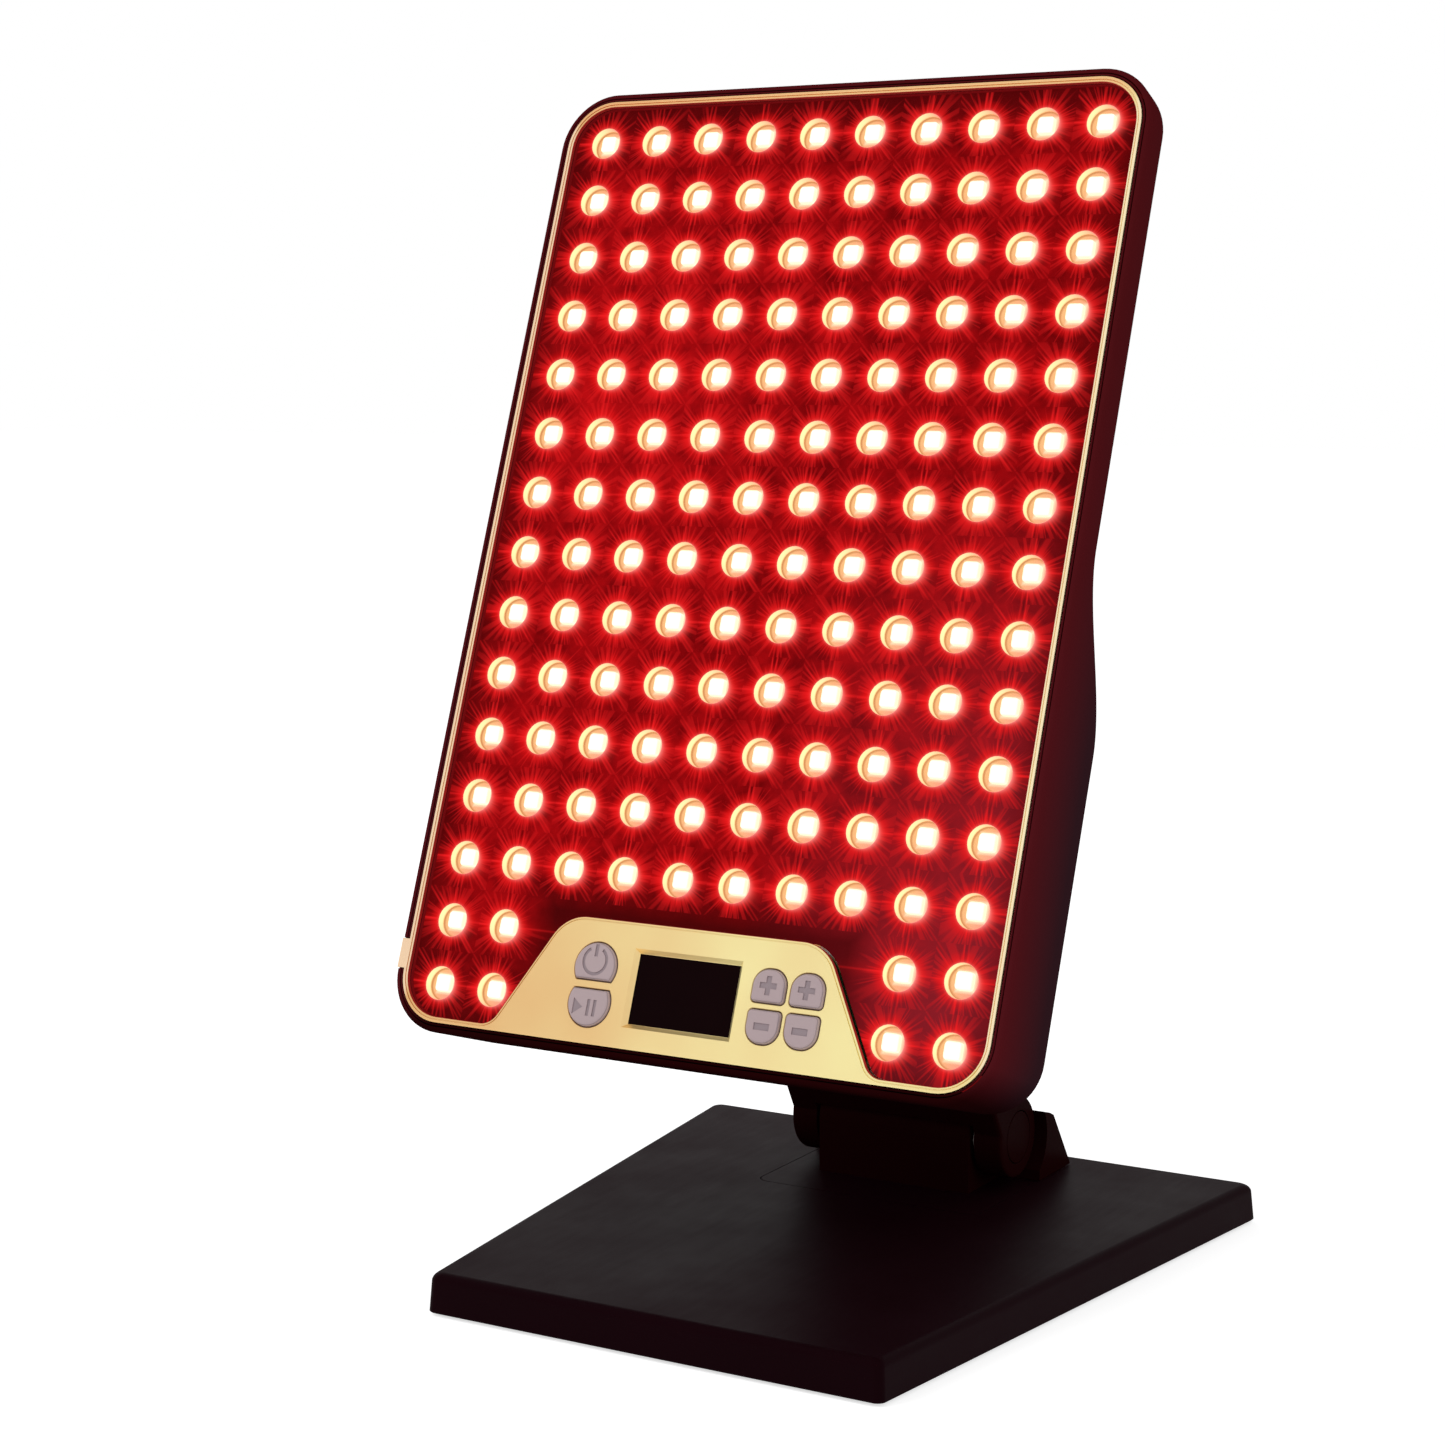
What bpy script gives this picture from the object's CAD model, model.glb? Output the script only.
import math

import bmesh
import bpy
from mathutils import Matrix, Vector


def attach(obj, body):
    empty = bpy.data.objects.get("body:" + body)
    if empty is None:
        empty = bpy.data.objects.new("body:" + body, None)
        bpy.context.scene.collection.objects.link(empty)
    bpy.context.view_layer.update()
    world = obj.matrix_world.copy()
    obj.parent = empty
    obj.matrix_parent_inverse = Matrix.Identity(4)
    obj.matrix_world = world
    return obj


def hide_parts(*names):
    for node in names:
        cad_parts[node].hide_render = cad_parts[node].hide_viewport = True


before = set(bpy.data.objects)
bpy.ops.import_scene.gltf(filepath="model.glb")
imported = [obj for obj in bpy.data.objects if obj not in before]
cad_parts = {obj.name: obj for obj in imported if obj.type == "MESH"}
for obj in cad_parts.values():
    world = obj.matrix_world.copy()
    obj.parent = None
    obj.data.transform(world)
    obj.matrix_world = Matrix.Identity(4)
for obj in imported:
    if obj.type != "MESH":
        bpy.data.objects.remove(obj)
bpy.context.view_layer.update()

# Camera: it stands at the right of the panel, a little above its middle, and looks slightly down at it.
# Its place and lens were solved from the grid of lights.

camera_data = bpy.data.cameras.new("camera")
camera_data.lens = 72.716
camera_data.sensor_width = 36.0
camera = bpy.data.objects.new("camera", camera_data)
camera.location = (0.407572, -0.737833, 0.272928)
camera.rotation_euler = [math.radians(turn) for turn in (82.476925, 0.275788, 30.875337)]
bpy.context.collection.objects.link(camera)
bpy.context.scene.camera = camera
bpy.context.scene.view_settings.view_transform = "Standard"

# White studio: a pale table, one wide soft lamp at the upper left, a weaker one at the right, and a
# white room that the camera, the gold and the clear cover see.


def calc(tree, operation, *values):
    """One Math node; each value is a socket or a number."""
    node = tree.nodes.new("ShaderNodeMath")
    node.operation = operation
    for socket, value in zip(node.inputs, values):
        if isinstance(value, bpy.types.NodeSocket):
            tree.links.new(value, socket)
        else:
            socket.default_value = value
    return node.outputs[0]


def add(tree, first, *others):
    """The sum of sockets and numbers."""
    for other in others:
        first = calc(tree, "ADD", first, other)
    return first


def multiply(tree, first, *others):
    """The product of sockets and numbers."""
    for other in others:
        first = calc(tree, "MULTIPLY", first, other)
    return first


def new_paint(name):
    """A new material, with its node tree and its shader."""
    made = bpy.data.materials.new(name)
    made.use_nodes = True
    return made, made.node_tree, made.node_tree.nodes["Principled BSDF"]


def seen_directly(tree):
    """1 where the camera, a mirror or glass looks at it, 0 for the light that it gives off."""
    path = tree.nodes.new("ShaderNodeLightPath")
    mirrored = calc(tree, "MAXIMUM", path.outputs["Is Camera Ray"], path.outputs["Is Glossy Ray"])
    return calc(tree, "MAXIMUM", mirrored, path.outputs["Is Transmission Ray"])


ROOM_LIGHT = 0.50
room = bpy.data.worlds.new("studio_room")
room.use_nodes = True
bpy.context.scene.world = room
room_tree = room.node_tree
room_white = seen_directly(room_tree)
room_level = add(room_tree, multiply(room_tree, room_white, 1.0 - ROOM_LIGHT), ROOM_LIGHT)
background = room_tree.nodes["Background"]
background.inputs["Color"].default_value = (1.0, 1.0, 1.0, 1.0)
room_tree.links.new(room_level, background.inputs["Strength"])

for lamp_name, place, watts, width in (
    ("wide_lamp", (-0.85, -1.00, 1.05), 8.0, 0.9),
    ("side_lamp", (1.25, -0.25, 0.65), 3.0, 0.7),
):
    lamp = bpy.data.lights.new(lamp_name, "AREA")
    lamp.energy = watts
    lamp.size = width
    holder = bpy.data.objects.new(lamp_name, lamp)
    holder.location = place
    holder.rotation_euler = (Vector((0.0, 0.0, 0.15)) - Vector(place)).to_track_quat("-Z", "Y").to_euler()
    holder.visible_glossy = False
    bpy.context.collection.objects.link(holder)

TABLE_HALF = 6.0
table_mesh = bmesh.new()
bmesh.ops.create_grid(table_mesh, x_segments=1, y_segments=1, size=TABLE_HALF)
table_data = bpy.data.meshes.new("table")
table_mesh.to_mesh(table_data)
table_mesh.free()
table = bpy.data.objects.new("table", table_data)
bpy.context.collection.objects.link(table)
table_paint, table_tree, table_shader = new_paint("white_table")
table_shader.inputs["Base Color"].default_value = (0.86, 0.86, 0.86, 1.0)
table_shader.inputs["Roughness"].default_value = 0.9
table_shader.inputs["Specular IOR Level"].default_value = 0.0
table_shader.inputs["Emission Color"].default_value = (1.0, 1.0, 1.0, 1.0)
table_level = multiply(table_tree, seen_directly(table_tree), 0.64)
table_tree.links.new(table_level, table_shader.inputs["Emission Strength"])
table_data.materials.append(table_paint)

# Base: a flat moulded box, wider at the back, black with a fine moulded texture. Its top is one skin with
# rounded edges and a shallow pocket for the bracket's foot plate, and a cover closes it underneath.

MM = 0.001
GAP = 0.3 * MM
BASE_FRONT_HALF = 72.2 * MM
BASE_BACK_HALF = 98.3 * MM
BASE_DEPTH = 200.6 * MM
BASE_LOW = 1.0 * MM
BASE_TOP = 12.4 * MM
BASE_CORNER = 2.6 * MM
BASE_EDGE = 2.6 * MM
BASE_DRAFT = 0.6 * MM
COVER_LEDGE = 1.2 * MM
COVER_T = 1.6 * MM
PLATE_HALF = 38.0 * MM
PLATE_FRONT = 25.7 * MM
PLATE_BACK = 89.6 * MM
PLATE_T = 1.2 * MM
PLATE_CORNER = 4.0 * MM


def arc(centre, radius, start, end, steps):
    turns = [start + (end - start) * i / steps for i in range(steps + 1)]
    return [(centre[0] + radius * math.cos(a), centre[1] + radius * math.sin(a)) for a in turns]


def circle(x, y, radius, sides):
    return arc((x, y), radius, 0.0, 2 * math.pi, sides)[:-1]


def rounded(points, radii, steps=8):
    """A polygon whose corners are arcs, each with its own radius."""
    outline = []
    for i, radius in enumerate(radii):
        here = Vector(points[i])
        if radius <= 0:
            outline.append(tuple(here))
            continue
        before = (Vector(points[i - 1]) - here).normalized()
        after = (Vector(points[(i + 1) % len(points)]) - here).normalized()
        half = before.angle(after) / 2
        centre = here + (before + after).normalized() * (radius / math.sin(half))
        start = here + before * (radius / math.tan(half)) - centre
        swing = start.angle_signed(here + after * (radius / math.tan(half)) - centre)
        first = math.atan2(start.y, start.x)
        outline += arc(centre, radius, first, first - swing, steps)
    return outline


def join_rings(bm, rings, material=0):
    """Faces between each ring of vertices and the next."""
    for low, high in zip(rings, rings[1:]):
        for i in range(len(low)):
            j = (i + 1) % len(low)
            bm.faces.new((low[i], low[j], high[j], high[i])).material_index = material


def loft(bm, layers, low_cap=True, high_cap=True, material=0):
    """A skin through (outline, z) layers with the same count of points; returns its rings of vertices."""
    rings = [[bm.verts.new((x, y, z)) for x, y in outline] for outline, z in layers]
    join_rings(bm, rings, material)
    if low_cap:
        bm.faces.new(rings[0][::-1]).material_index = material
    if high_cap:
        bm.faces.new(rings[-1]).material_index = material
    return rings


def fill(bm, rings):
    """A flat face between an outer ring of vertices and the rings of its holes."""
    edges = []
    for ring in rings:
        for a, b in zip(ring, ring[1:] + ring[:1]):
            edges.append(bm.edges.get((a, b)) or bm.edges.new((a, b)))
    bmesh.ops.triangle_fill(bm, edges=edges, use_beauty=True)


def piece_from(name, bm, materials, place=Matrix.Identity(4), crease=32):
    """A mesh object with smooth rounds, crisp edges and flat faces."""
    bmesh.ops.recalc_face_normals(bm, faces=bm.faces)
    mesh = bpy.data.meshes.new(name)
    bm.to_mesh(mesh)
    bm.free()
    mesh.shade_smooth()
    mesh.set_sharp_from_angle(angle=math.radians(crease))
    for material in materials:
        mesh.materials.append(material)
    made = bpy.data.objects.new(name, mesh)
    bpy.context.collection.objects.link(made)
    made.matrix_world = place
    even = made.modifiers.new("even_shading", "WEIGHTED_NORMAL")
    even.keep_sharp = True
    return made


def quarter(steps):
    """Angles through a quarter turn, for a rounded edge."""
    return [math.pi / 2 * step / steps for step in range(steps + 1)]


def base_half_width(y, inset):
    """Half of the base's width at y, measured to a line that runs inset from its slanted side."""
    slope = (BASE_BACK_HALF - BASE_FRONT_HALF) / BASE_DEPTH
    return (BASE_FRONT_HALF + BASE_BACK_HALF) / 2 + slope * y - inset * math.hypot(1, slope)


def base_outline(inset):
    y = BASE_DEPTH / 2 - inset
    front, back = base_half_width(-y, inset), base_half_width(y, inset)
    return rounded([(front, -y), (back, y), (-back, y), (-front, -y)], [BASE_CORNER] * 4)


def plate_outline(clearance):
    half = PLATE_HALF + clearance
    corners = [(half, PLATE_FRONT - clearance), (half, PLATE_BACK + clearance)]
    corners += [(-half, PLATE_BACK + clearance), (-half, PLATE_FRONT - clearance)]
    return rounded(corners, [PLATE_CORNER, 0.0, 0.0, PLATE_CORNER])


bm = bmesh.new()
layers = [(base_outline(COVER_LEDGE), BASE_LOW + COVER_T + GAP), (base_outline(COVER_LEDGE), BASE_LOW)]
layers += [(base_outline(GAP), BASE_LOW), (base_outline(0.0), BASE_LOW + GAP)]
for turn in quarter(8):
    inset = BASE_DRAFT + BASE_EDGE * (1 - math.cos(turn))
    layers.append((base_outline(inset), BASE_TOP - BASE_EDGE * (1 - math.sin(turn))))
rim = loft(bm, layers, high_cap=False)[-1]
edge = [(plate_outline(GAP), BASE_TOP - PLATE_T), (plate_outline(GAP), BASE_TOP)]
pocket = loft(bm, edge, high_cap=False)[-1]
fill(bm, [rim, pocket])


def new_group(name, inputs, outputs):
    """An empty shader node group with named sockets."""
    group = bpy.data.node_groups.new(name, "ShaderNodeTree")
    for label, kind, value in inputs:
        socket = group.interface.new_socket(label, in_out="INPUT", socket_type=kind)
        if value is not None:
            socket.default_value = value
    for label, kind in outputs:
        group.interface.new_socket(label, in_out="OUTPUT", socket_type=kind)
    return group, group.nodes.new("NodeGroupInput"), group.nodes.new("NodeGroupOutput")


def noise(tree, vector, scale, detail=2.0, roughness=0.5):
    node = tree.nodes.new("ShaderNodeTexNoise")
    tree.links.new(vector, node.inputs["Vector"])
    node.inputs["Detail"].default_value = detail
    node.inputs["Roughness"].default_value = roughness
    if isinstance(scale, bpy.types.NodeSocket):
        tree.links.new(scale, node.inputs["Scale"])
    else:
        node.inputs["Scale"].default_value = scale
    return node.outputs["Fac"]


# Moulded plastic: a fine eroded texture, slow patches of sheen, and thin handling marks.
moulded, mould_in, mould_out = new_group(
    "moulded_texture",
    [("Vector", "NodeSocketVector", None), ("Grain Scale", "NodeSocketFloat", 2600.0)],
    [("Height", "NodeSocketFloat"), ("Tone", "NodeSocketFloat"), ("Sheen", "NodeSocketFloat")])
mould_vector = mould_in.outputs["Vector"]
pits = noise(moulded, mould_vector, mould_in.outputs["Grain Scale"], 3.0, 0.6)
patches = noise(moulded, mould_vector, 34.0, 3.0, 0.55)
stretch = moulded.nodes.new("ShaderNodeMapping")
stretch.inputs["Scale"].default_value = (1.0, 0.12, 1.0)
stretch.inputs["Rotation"].default_value = (0.3, 0.2, 0.5)
moulded.links.new(mould_vector, stretch.inputs["Vector"])
marks = noise(moulded, stretch.outputs["Vector"], 420.0, 2.0, 0.6)
moulded.links.new(pits, mould_out.inputs["Height"])
mould_tone = add(moulded, multiply(moulded, patches, 0.7), multiply(moulded, pits, 0.3))
mould_sheen = add(moulded, multiply(moulded, patches, 0.75), multiply(moulded, marks, 0.25))
moulded.links.new(mould_tone, mould_out.inputs["Tone"])
moulded.links.new(mould_sheen, mould_out.inputs["Sheen"])


def place_group(tree, group, **values):
    """The group in a material, fed with the piece's own coordinates."""
    node = tree.nodes.new("ShaderNodeGroup")
    node.node_tree = group
    where = tree.nodes.new("ShaderNodeTexCoord")
    tree.links.new(where.outputs["Object"], node.inputs["Vector"])
    for label, value in values.items():
        node.inputs[label.replace("_", " ")].default_value = value
    return node


def mix_colours(tree, share, first, second):
    """Colour that goes from first to second as share goes from 0 to 1."""
    node = tree.nodes.new("ShaderNodeMix")
    node.data_type = "RGBA"
    tree.links.new(share, node.inputs[0])
    for socket, value in ((node.inputs[6], first), (node.inputs[7], second)):
        if isinstance(value, bpy.types.NodeSocket):
            tree.links.new(value, socket)
        else:
            socket.default_value = (*value, 1.0)
    return node.outputs[2]


def spread(tree, value, low, high, start, end):
    """Map value from low..high to start..end, held at the ends."""
    node = tree.nodes.new("ShaderNodeMapRange")
    tree.links.new(value, node.inputs["Value"])
    for label, number in (("From Min", low), ("From Max", high), ("To Min", start), ("To Max", end)):
        node.inputs[label].default_value = number
    return node.outputs["Result"]


def bump(tree, height, distance):
    node = tree.nodes.new("ShaderNodeBump")
    node.inputs["Distance"].default_value = distance
    tree.links.new(height, node.inputs["Height"])
    return node.outputs["Normal"]


def finish(name, group, colours, rough, depth, metal=0.0, shine=0.5, **values):
    """A material whose colour, roughness and fine relief come from one of the texture groups."""
    made, tree, shader = new_paint(name)
    texture = place_group(tree, group, **values)
    tone = mix_colours(tree, texture.outputs["Tone"], *colours)
    tree.links.new(tone, shader.inputs["Base Color"])
    tree.links.new(spread(tree, texture.outputs["Sheen"], 0.3, 0.7, *rough), shader.inputs["Roughness"])
    tree.links.new(bump(tree, texture.outputs["Height"], depth), shader.inputs["Normal"])
    shader.inputs["Metallic"].default_value = metal
    shader.inputs["Specular IOR Level"].default_value = shine
    return made


base_black = finish("base_black", moulded, ((0.0060, 0.0006, 0.0016), (0.0095, 0.0014, 0.0032)), (0.40, 0.52),
                    0.03 * MM, shine=0.016)
base_skin = piece_from("base_skin", bm, [base_black])
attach(base_skin, "base")
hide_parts("base_shell")

# Underside of the base: a flat moulded cover held by six cross-head screws, with a steel weight behind it.
# Four turned rubber feet are pushed through the cover by their stems.

FOOT_R = 7.0 * MM
FOOT_STEM_R = 3.0 * MM
FOOT_INSET = 17.0 * MM


def turned(bm, profile, place, sides=36):
    """A solid of revolution through (radius, height) points about the place's z axis."""
    rings = [[bm.verts.new(place @ Vector((x, y, height))) for x, y in circle(0.0, 0.0, radius, sides)]
             for radius, height in profile]
    join_rings(bm, rings)
    bm.faces.new(rings[0][::-1])
    bm.faces.new(rings[-1])


foot_rubber = finish("foot_rubber", moulded, ((0.012, 0.012, 0.012), (0.030, 0.029, 0.028)), (0.75, 0.92),
                     0.06 * MM, shine=0.3, Grain_Scale=1600.0)
profile = [(FOOT_R - 1.6 * MM, 0.0), (FOOT_R - 0.5 * MM, 0.08 * MM), (FOOT_R, 0.4 * MM)]
profile += [(FOOT_R, BASE_LOW - GAP), (FOOT_STEM_R, BASE_LOW - GAP), (FOOT_STEM_R, BASE_LOW + COVER_T)]


def left_and_right(*rows):
    """Numbered places at both slanted sides of the base, one pair for each row's y."""
    pairs = [(side * base_half_width(y, FOOT_INSET), y) for y in rows for side in (-1, 1)]
    return enumerate(pairs, 1)


for number, (x, y) in left_and_right(FOOT_INSET - BASE_DEPTH / 2, BASE_DEPTH / 2 - FOOT_INSET):
    bm = bmesh.new()
    turned(bm, profile, Matrix.Translation((x, y, 0.0)))
    foot = piece_from(f"round_foot_{number}", bm, [foot_rubber])
    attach(foot, "base")
    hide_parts(f"rubber_foot_{number}")

cover_plastic = finish("cover_plastic", moulded, ((0.020, 0.018, 0.019), (0.036, 0.033, 0.034)), (0.55, 0.7),
                       0.05 * MM, shine=0.3, Grain_Scale=1800.0)

# Rolled, plated and cast metal: fine lines along one direction with a few bright patches.
worked, work_in, work_out = new_group(
    "worked_metal",
    [("Vector", "NodeSocketVector", None), ("Line Scale", "NodeSocketFloat", 900.0)],
    [("Height", "NodeSocketFloat"), ("Tone", "NodeSocketFloat"), ("Sheen", "NodeSocketFloat")])
pull = worked.nodes.new("ShaderNodeMapping")
pull.inputs["Scale"].default_value = (0.06, 1.0, 1.0)
worked.links.new(work_in.outputs["Vector"], pull.inputs["Vector"])
lines = noise(worked, pull.outputs["Vector"], work_in.outputs["Line Scale"], 3.0, 0.6)
clouds = noise(worked, work_in.outputs["Vector"], 60.0, 2.0, 0.5)
worked.links.new(lines, work_out.inputs["Height"])
worked.links.new(clouds, work_out.inputs["Tone"])
work_sheen = add(worked, multiply(worked, clouds, 0.5), multiply(worked, lines, 0.5))
worked.links.new(work_sheen, work_out.inputs["Sheen"])
zinc = finish("zinc_plate", worked, ((0.50, 0.50, 0.53), (0.66, 0.66, 0.68)), (0.25, 0.42), 0.02 * MM,
              metal=1.0)
black_zinc = finish("black_zinc", worked, ((0.05, 0.05, 0.055), (0.10, 0.10, 0.105)), (0.25, 0.42), 0.02 * MM,
                    metal=0.9, Line_Scale=1400.0)


def coat(node, material):
    """Give a CAD node that keeps its own shape its finish."""
    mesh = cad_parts[node].data
    mesh.materials.clear()
    mesh.materials.append(material)


coat("base_cover", cover_plastic)
coat("ballast_plate", zinc)
for number in range(1, 5):
    coat(f"base_bracket_screw_{number}", zinc)

SCREW_HEAD_R = 2.6 * MM
SCREW_HEAD_H = 1.2 * MM
SCREW_R = 1.25 * MM
SCREW_SIDES = 24


def screw(name, node, x, y, seat, direction, length, material, body, place=Matrix.Identity(4)):
    """A pan-head screw with a cross in its head; the head lies on the -direction side of its seat."""
    bm = bmesh.new()
    crown = seat - direction * SCREW_HEAD_H
    outline = [(SCREW_R, seat + direction * length), (SCREW_R, seat), (SCREW_HEAD_R, seat)]
    outline += [(SCREW_HEAD_R, seat - direction * SCREW_HEAD_H * 0.45)]
    outline += [(SCREW_HEAD_R * 0.92, seat - direction * SCREW_HEAD_H * 0.8), (SCREW_HEAD_R * 0.7, crown)]
    rings = [[bm.verts.new((px, py, z)) for px, py in circle(x, y, radius, SCREW_SIDES)]
             for radius, z in outline]
    join_rings(bm, rings)
    bm.faces.new(rings[0][::-1])
    reach, wide = SCREW_HEAD_R * 0.55, SCREW_HEAD_R * 0.13
    cross = []
    for turn in range(4):
        spin = Matrix.Rotation(math.pi / 2 * turn, 2)
        cross += [spin @ Vector(p) for p in ((reach, -wide), (reach, wide), (wide, wide))]
    mouth = [bm.verts.new((x + p.x, y + p.y, crown)) for p in cross]
    floor_z = crown + direction * SCREW_HEAD_H * 0.6
    floor = [bm.verts.new((x + p.x * 0.8, y + p.y * 0.8, floor_z)) for p in cross]
    join_rings(bm, [mouth, floor])
    bm.faces.new(floor)
    fill(bm, [rings[-1], mouth])
    made = piece_from(name, bm, [material], place)
    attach(made, body)
    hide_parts(node)


COVER_SCREW_SEAT = 2.3 * MM
COVER_SCREW_L = 6.0 * MM
cover_screw_y = BASE_DEPTH / 2 - FOOT_INSET - 3 * FOOT_R
for number, (x, y) in left_and_right(-cover_screw_y, 0.0, cover_screw_y):
    screw(f"cover_cross_screw_{number}", f"cover_screw_{number}", x, y, COVER_SCREW_SEAT, 1, COVER_SCREW_L,
          black_zinc, "base")

# Stand bracket: cast and painted satin black. A foot plate lies flush in the base's pocket, a round-topped
# knuckle stands on it, and behind it a wedge holds the arm's two ears in a hollow seat.

BASE_AXIS = (58.0 * MM, 28.5 * MM)
KNUCKLE_HALF = 26.0 * MM
KNUCKLE_R = 13.5 * MM
EAR_R = 12.8 * MM
EAR_INNER = 27.4 * MM
EAR_OUTER = 36.5 * MM
PIN_R = 4.0 * MM
CHEEK_HALF = 39.6 * MM
SEAT_R = 14.2 * MM
SEAT_DROP = 1.5 * MM
SEAT_STOP = math.radians(-50.8)
WEDGE_CREST = 34.0 * MM
WEDGE_TOE = 18.8 * MM
WEDGE_SHOULDER = 6.3 * MM


def side_prism(bm, layers):
    """A solid through (x, outline) layers, whose outlines lie in y and z."""
    rings = [[bm.verts.new((x, y, z)) for y, z in outline] for x, outline in layers]
    join_rings(bm, rings)
    bm.faces.new(rings[0][::-1])
    bm.faces.new(rings[-1])


def guide(bm):
    """A mesh that only cuts or joins; combine() removes it again."""
    bmesh.ops.recalc_face_normals(bm, faces=bm.faces)
    mesh = bpy.data.meshes.new("guide")
    bm.to_mesh(mesh)
    bm.free()
    made = bpy.data.objects.new("guide", mesh)
    bpy.context.collection.objects.link(made)
    return made


def combine(start, steps):
    """Cut and join meshes, and return the result as one mesh to go on with."""
    body = guide(start)
    for operation, other in steps:
        tool = guide(other)
        change = body.modifiers.new("change", "BOOLEAN")
        change.operation = operation
        change.solver = "EXACT"
        change.object = tool
        bpy.context.view_layer.update()
        result = bpy.data.meshes.new_from_object(body.evaluated_get(bpy.context.evaluated_depsgraph_get()))
        body.modifiers.clear()
        body.data = result
        bpy.data.objects.remove(tool)
    bm = bmesh.new()
    bm.from_mesh(body.data)
    bpy.data.objects.remove(body)
    bmesh.ops.dissolve_limit(bm, angle_limit=math.radians(0.5), verts=bm.verts, edges=bm.edges)
    return bm


def soften(piece, width):
    """Round the piece's sharp edges."""
    round_off = piece.modifiers.new("rounded_edges", "BEVEL")
    round_off.width = width
    round_off.segments = 3
    round_off.limit_method = "ANGLE"
    round_off.angle_limit = math.radians(38)
    round_off.harden_normals = True
    piece.modifiers.move(len(piece.modifiers) - 1, 0)


def knuckle_block(axis, foot):
    """The round-topped block that an arm's ears turn beside, from its foot up to the axis."""
    block = bmesh.new()
    outline = arc(axis, KNUCKLE_R, 0.0, math.pi, 40)
    outline += [(axis[0] - KNUCKLE_R, foot), (axis[0] + KNUCKLE_R, foot)]
    side_prism(block, [(-KNUCKLE_HALF, outline), (KNUCKLE_HALF, outline)])
    return block


def along_x(y, z):
    return Matrix.Translation((0.0, y, z)) @ Matrix.Rotation(math.pi / 2, 4, "Y")


def pin_bore(axis, half):
    """The hole for a hinge pin, a little longer than the part that it goes through."""
    bore = bmesh.new()
    turned(bore, [(PIN_R + GAP, -half - MM), (PIN_R + GAP, half + MM)], along_x(*axis))
    return bore


def rectangle(x0, x1, y0, y1):
    return [(x0, y0), (x1, y0), (x1, y1), (x0, y1)]


def upright_box(half, front, back, bottom, top):
    box = bmesh.new()
    loft(box, [(rectangle(-half, half, front, back), z) for z in (bottom, top)])
    return box


seat_centre = (BASE_AXIS[0], BASE_AXIS[1] - SEAT_DROP)
seat_start = math.asin((WEDGE_CREST - seat_centre[1]) / SEAT_R)
seat = arc(seat_centre, SEAT_R, seat_start, SEAT_STOP, 32)
floor_z = BASE_TOP + GAP
ear_back = BASE_AXIS[0] + EAR_R
toe_y = ear_back + WEDGE_TOE
slope_y = ear_back + WEDGE_SHOULDER
wedge_side = seat + [(seat[-1][0], floor_z), (toe_y, floor_z), (toe_y, floor_z + 0.6 * MM)]
wedge_side += [(slope_y, WEDGE_CREST - 2.5 * MM), (ear_back + 3.6 * MM, WEDGE_CREST - 1.25 * MM)]
wedge = bmesh.new()
side_prism(wedge, [(-CHEEK_HALF, wedge_side), (CHEEK_HALF, wedge_side)])
in_plate = BASE_TOP - PLATE_T / 2
plate = bmesh.new()
loft(plate, [(plate_outline(0.0), BASE_TOP - PLATE_T + GAP), (plate_outline(0.0), BASE_TOP)])
root = upright_box(PLATE_HALF - PLATE_CORNER, seat[-1][0] + GAP, toe_y - GAP, in_plate, floor_z + 0.3 * MM)
web = upright_box(KNUCKLE_HALF - GAP, BASE_AXIS[0] + KNUCKLE_R / 2, slope_y, in_plate, BASE_AXIS[1])
bm = combine(wedge, [("UNION", knuckle_block(BASE_AXIS, in_plate)), ("UNION", plate), ("UNION", root),
                     ("UNION", web), ("DIFFERENCE", pin_bore(BASE_AXIS, KNUCKLE_HALF))])
painted_black = finish("painted_black", moulded, ((0.0100, 0.0010, 0.0012), (0.0160, 0.0022, 0.0026)),
                       (0.26, 0.36), 0.012 * MM, shine=0.0015, Grain_Scale=3400.0)
for face in bm.faces:
    if face.calc_center_median().z < BASE_TOP + 0.05 * MM:
        face.material_index = 1
stand_bracket = piece_from("stand_bracket", bm, [painted_black, base_black])
soften(stand_bracket, 0.5 * MM)
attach(stand_bracket, "base")
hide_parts("base_bracket")

# Friction hinges: a ground steel pin is pressed through each knuckle, and a pale nylon washer at each side
# rubs on the arm's ear and holds the panel where it is left.

natural_nylon = finish("natural_nylon", moulded, ((0.62, 0.60, 0.54), (0.74, 0.72, 0.66)), (0.40, 0.55),
                       0.02 * MM, Grain_Scale=2200.0)
for end in ("base", "head"):
    coat(f"{end}_hinge_pin", zinc)
    for label in ("left", "right"):
        coat(f"{end}_hinge_washer_{label}", natural_nylon)

# Arm: one cast bar, painted like the bracket, with a round ear at each side of both ends and a flush
# plastic cap over each pin end.

HEAD_AXIS = (-4.124 * MM, 140.073 * MM)
ARM_T = 19.0 * MM
ARM_EDGE = 1.2 * MM
CROTCH_R = 15.0 * MM
CAP_R = 8.0 * MM
CAP_T = 2.0 * MM
reach = Vector(HEAD_AXIS) - Vector(BASE_AXIS)
arm_place = Matrix.Translation((0.0, *BASE_AXIS)) @ Matrix.Rotation(math.atan2(reach.y, reach.x), 4, "X")


def arm_outline(inset):
    """Side view of the bar and its two round ends, drawn in by inset."""
    radius = EAR_R - inset
    a = math.asin((ARM_T / 2 - inset) / radius)
    lower = arc((0.0, 0.0), radius, a, 2 * math.pi - a, 44)
    return lower + arc((reach.length, 0.0), radius, a - math.pi, math.pi - a, 44)


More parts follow.
